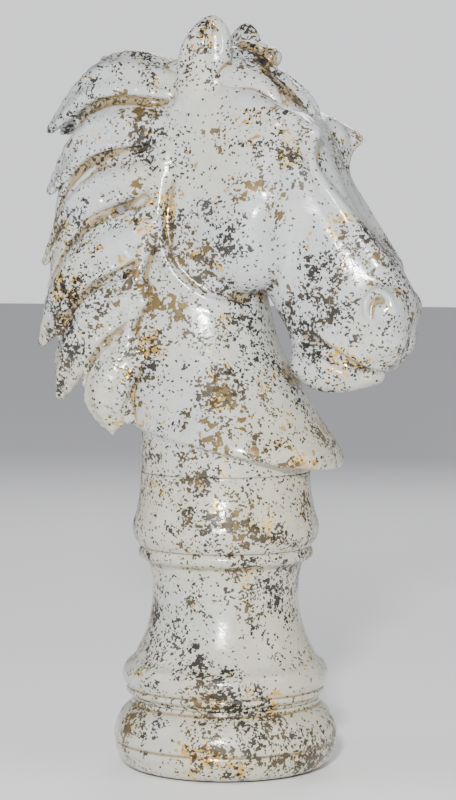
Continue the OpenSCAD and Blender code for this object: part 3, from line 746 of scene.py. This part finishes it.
def glaze_material():
    """Pearl white glaze over a dark ground: worn flecks, bronze and gold leaf, and painted shade in ochre-brown
    in the hollows.
    """
    n = Nodes("pearl_glaze")
    place = n.add("ShaderNodeTexCoord", output="Object")
    hollow = n.add("ShaderNodeAttribute", output="Fac", attrs={"attribute_name": "hollow"})
    rise = n.add("ShaderNodeSeparateXYZ", output="Z", Vector=place)

    # the edges of the flecks are ragged, so the points they are looked up at are shaken
    shake = n.tree.nodes.new("ShaderNodeTexNoise")
    n.set(shake, Vector=place, Scale=900.0, Detail=1.0)
    ragged = n.add("ShaderNodeVectorMath", attrs={"operation": "MULTIPLY_ADD"}, _0=shake.outputs["Color"],
                   _1=(0.0011, 0.0011, 0.0011), _2=place)

    def cells(scale, chance, spread):
        """Random cells: 1 where a cell's number is under chance."""
        node = n.tree.nodes.new("ShaderNodeTexVoronoi")
        node.distance = "CHEBYCHEV"
        n.set(node, Vector=ragged, Scale=scale, Randomness=1.0)
        number = n.add("ShaderNodeSeparateColor", Color=node.outputs["Color"])
        inside = n.math("LESS_THAN", node.outputs["Distance"], spread)
        return n.math("MULTIPLY", n.math("LESS_THAN", number, chance), inside)

    broad = n.noise(place, 21.0, 3.0, 0.6)
    close = n.noise(place, 74.0, 2.0, 0.6)
    worn = n.math("ADD", n.math("MULTIPLY", broad, 0.62), n.math("MULTIPLY", close, 0.38))
    worn = n.math("ADD", worn, n.math("MULTIPLY", hollow, 0.05))
    fine = cells(760.0, n.steps(worn, 0.42, 0.64, 0.03, 0.50), 0.62)
    coarse = cells(400.0, n.steps(worn, 0.49, 0.66, 0.0, 0.60), 0.6)
    specks = n.math("MAXIMUM", fine, coarse)

    leaf_place = n.noise(place, 33.0, 2.0, 0.5)
    leaf = cells(300.0, n.steps(leaf_place, 0.59, 0.78, 0.0, 0.70), 0.7)
    gold_place = n.noise(place, 41.0, 3.0, 0.55, 0.6)
    gold = cells(480.0, n.steps(gold_place, 0.55, 0.72, 0.0, 0.62), 0.8)

    # the white itself: cool on top, creamier low down, and darkened to ochre-brown in the hollows as painted
    # shade, broken up by noise
    tint = n.noise(place, 13.0, 2.0, 0.5)
    low = n.steps(rise, 0.30, 0.16, 0.0, 0.25)
    cream = n.steps(n.math("ADD", tint, low), 0.45, 0.80)
    white = n.mix(cream, (0.475, 0.500, 0.500, 1.0), (0.520, 0.495, 0.385, 1.0))
    cloud = n.steps(n.noise(place, 160.0, 3.0, 0.6), 0.35, 0.65, 0.0, 0.22)
    white = n.mix(cloud, white, (0.36, 0.38, 0.35, 1.0))
    # painted shade: darkens the white towards ochre-brown where the skin lies in a hollow, broken up by noise
    hollow_shade = n.steps(n.math("ADD", hollow, n.math("MULTIPLY", close, 0.5)), 0.40, 0.85, 0.0, 0.9)
    white = n.mix(hollow_shade, white, (0.26, 0.18, 0.07, 1.0))

    dark = n.mix(n.steps(leaf_place, 0.42, 0.60), (0.012, 0.010, 0.007, 1.0), (0.060, 0.040, 0.013, 1.0))
    colour = n.mix(gold, white, (0.74, 0.47, 0.13, 1.0))
    colour = n.mix(specks, colour, dark)
    colour = n.mix(leaf, colour, (0.15, 0.10, 0.032, 1.0))

    metal = n.math("MAXIMUM", n.math("MULTIPLY", gold, 0.75), n.math("MULTIPLY", leaf, 0.45))
    worn_through = n.math("MAXIMUM", specks, leaf)
    rough = n.steps(n.noise(place, 95.0, 2.0, 0.6), 0.3, 0.7, 0.20, 0.36)
    rough = n.math("ADD", rough, n.math("MULTIPLY", worn_through, 0.22))

    wave = n.noise(place, 46.0, 2.0, 0.5)
    grain = n.noise(place, 430.0, 2.0, 0.6)
    height = n.math("ADD", n.math("MULTIPLY", wave, 1.0), n.math("MULTIPLY", grain, 0.10))
    height = n.math("SUBTRACT", height, n.math("MULTIPLY", worn_through, 0.05))
    bump = n.add("ShaderNodeBump", Strength=0.55, Distance=0.0022, Height=height)
    n.set(n.shader, **{"Base Color": colour, "Roughness": rough, "Metallic": metal, "Normal": bump,
                       "Coat Weight": 0.55, "Coat Roughness": 0.13, "Coat Normal": bump})
    return n.material


def plain_material(name, colour, dull, roughness, metallic, grain, depth):
    """One colour that dulls in patches, with a fine grain raised by depth metres."""
    n = Nodes(name)
    place = n.add("ShaderNodeTexCoord", output="Object")
    patches = n.steps(n.noise(place, 60.0, 3.0, 0.6), 0.35, 0.70)
    relief = n.noise(place, grain, 2.0, 0.6)
    n.set(n.shader, **{"Base Color": n.mix(patches, colour + (1.0,), dull + (1.0,)), "Metallic": metallic,
                       "Roughness": n.steps(relief, 0.3, 0.7, roughness, roughness + 0.15),
                       "Normal": n.add("ShaderNodeBump", Strength=0.5, Distance=depth, Height=relief)})
    return n.material


def wood_material(name, pale, dark):
    """Plywood: long fibres along X over thin plies."""
    n = Nodes(name)
    place = n.add("ShaderNodeTexCoord", output="Object")
    drawn = n.add("ShaderNodeVectorMath", attrs={"operation": "MULTIPLY"}, _0=place, _1=(20.0, 900.0, 260.0))
    fibre = n.noise(drawn, 1.0, 3.0, 0.6)
    n.set(n.shader, **{"Base Color": n.mix(n.steps(fibre, 0.35, 0.65), pale + (1.0,), dark + (1.0,)),
                       "Roughness": 0.62,
                       "Normal": n.add("ShaderNodeBump", Strength=0.4, Distance=0.0002, Height=fibre)})
    return n.material


glaze = glaze_material()
# the pieces inside and under the castings keep their designed shapes and take a finish by their slot
finishes = {
    "steel": plain_material("zinc_steel", (0.60, 0.61, 0.63), (0.44, 0.45, 0.47),
        0.28, 1.0, 900.0, 0.00003),
    "brass": plain_material("turned_brass", (0.80, 0.62, 0.28), (0.62, 0.46, 0.20),
        0.25, 1.0, 700.0, 0.00003),
    "rubber": plain_material("matt_rubber", (0.030, 0.030, 0.033), (0.055, 0.054, 0.052),
        0.70, 0.0, 800.0, 0.0001),
    "plate": plain_material("moulded_plate", (0.045, 0.045, 0.048), (0.07, 0.07, 0.07),
        0.45, 0.0, 600.0, 0.00008),
    "plywood": wood_material("birch_plywood", (0.62, 0.46, 0.28), (0.44, 0.30, 0.16)),
    "sand": plain_material("dry_sand", (0.56, 0.45, 0.29), (0.40, 0.31, 0.19),
        0.90, 0.0, 1400.0, 0.0004),
}
for row in frame["record"]["subparts"]:
    if row["material_slot"] in finishes:
        node = frame["nodes"][row["node"]]
        node.data.materials.clear()
        node.data.materials.append(finishes[row["material_slot"]])
for piece in sculpted + pedestal:
    piece.data.materials.append(glaze)


# ---------- camera, light and floor ----------

def aim(obj, target):
    obj.rotation_euler = (Vector(target) - obj.location).to_track_quat("-Z", "Y").to_euler()


camera_data = bpy.data.cameras.new("camera")
camera = bpy.data.objects.new("camera", camera_data)
bpy.context.scene.collection.objects.link(camera)
azimuth, distance = math.radians(22.0), 1.472
camera_data.sensor_fit = "VERTICAL"
camera_data.sensor_height = 36.0
camera_data.lens = 108.0
camera.location = (distance * math.sin(azimuth), -distance * math.cos(azimuth), 0.316)
side_step = 0.0015
aim(camera, (side_step * math.cos(azimuth), side_step * math.sin(azimuth), 0.2255))
bpy.context.scene.camera = camera


def area_light(name, location, target, size, power, colour):
    data = bpy.data.lights.new(name, "AREA")
    data.shape, data.size, data.energy, data.color = "DISK", size, power, colour
    light = bpy.data.objects.new(name, data)
    bpy.context.scene.collection.objects.link(light)
    light.location = location
    aim(light, target)


area_light("flash", (0.44, -1.40, 0.62), (0, 0, 0.24), 0.13, 34.0, (1.0, 0.99, 0.97))
area_light("left", (-1.3, -0.7, 0.9), (0, 0, 0.25), 1.1, 7.0, (0.90, 0.93, 1.0))
area_light("right", (1.4, -0.1, 0.9), (0, 0, 0.25), 1.0, 5.0, (1.0, 0.98, 0.94))
area_light("back", (-0.3, 1.5, 1.2), (0, 0, 0.28), 1.0, 10.0, (1.0, 1.0, 1.0))

world = bpy.data.worlds.new("studio")
bpy.context.scene.world = world
world.use_nodes = True
backdrop = world.node_tree.nodes["Background"]
backdrop.inputs["Color"].default_value = (0.96, 0.97, 1.0, 1.0)
ray = world.node_tree.nodes.new("ShaderNodeLightPath")
level = world.node_tree.nodes.new("ShaderNodeMapRange")
level.inputs["To Min"].default_value = 0.42
level.inputs["To Max"].default_value = 1.2
world.node_tree.links.new(ray.outputs["Is Camera Ray"], level.inputs["Value"])
world.node_tree.links.new(level.outputs[0], backdrop.inputs["Strength"])

floor_mesh = bpy.data.meshes.new("floor")
floor_mesh.from_pydata([(-12, -12, 0), (12, -12, 0), (12, 12, 0), (-12, 12, 0)], [], [(0, 1, 2, 3)])
floor = bpy.data.objects.new("floor", floor_mesh)
bpy.context.scene.collection.objects.link(floor)
floor.location.z = cad_box[0][2]
floor_paint = bpy.data.materials.new("floor_paint")
floor_paint.use_nodes = True
shader = floor_paint.node_tree.nodes["Principled BSDF"]
shader.inputs["Base Color"].default_value = (0.95, 0.95, 0.96, 1.0)
shader.inputs["Roughness"].default_value = 0.85
floor_mesh.materials.append(floor_paint)
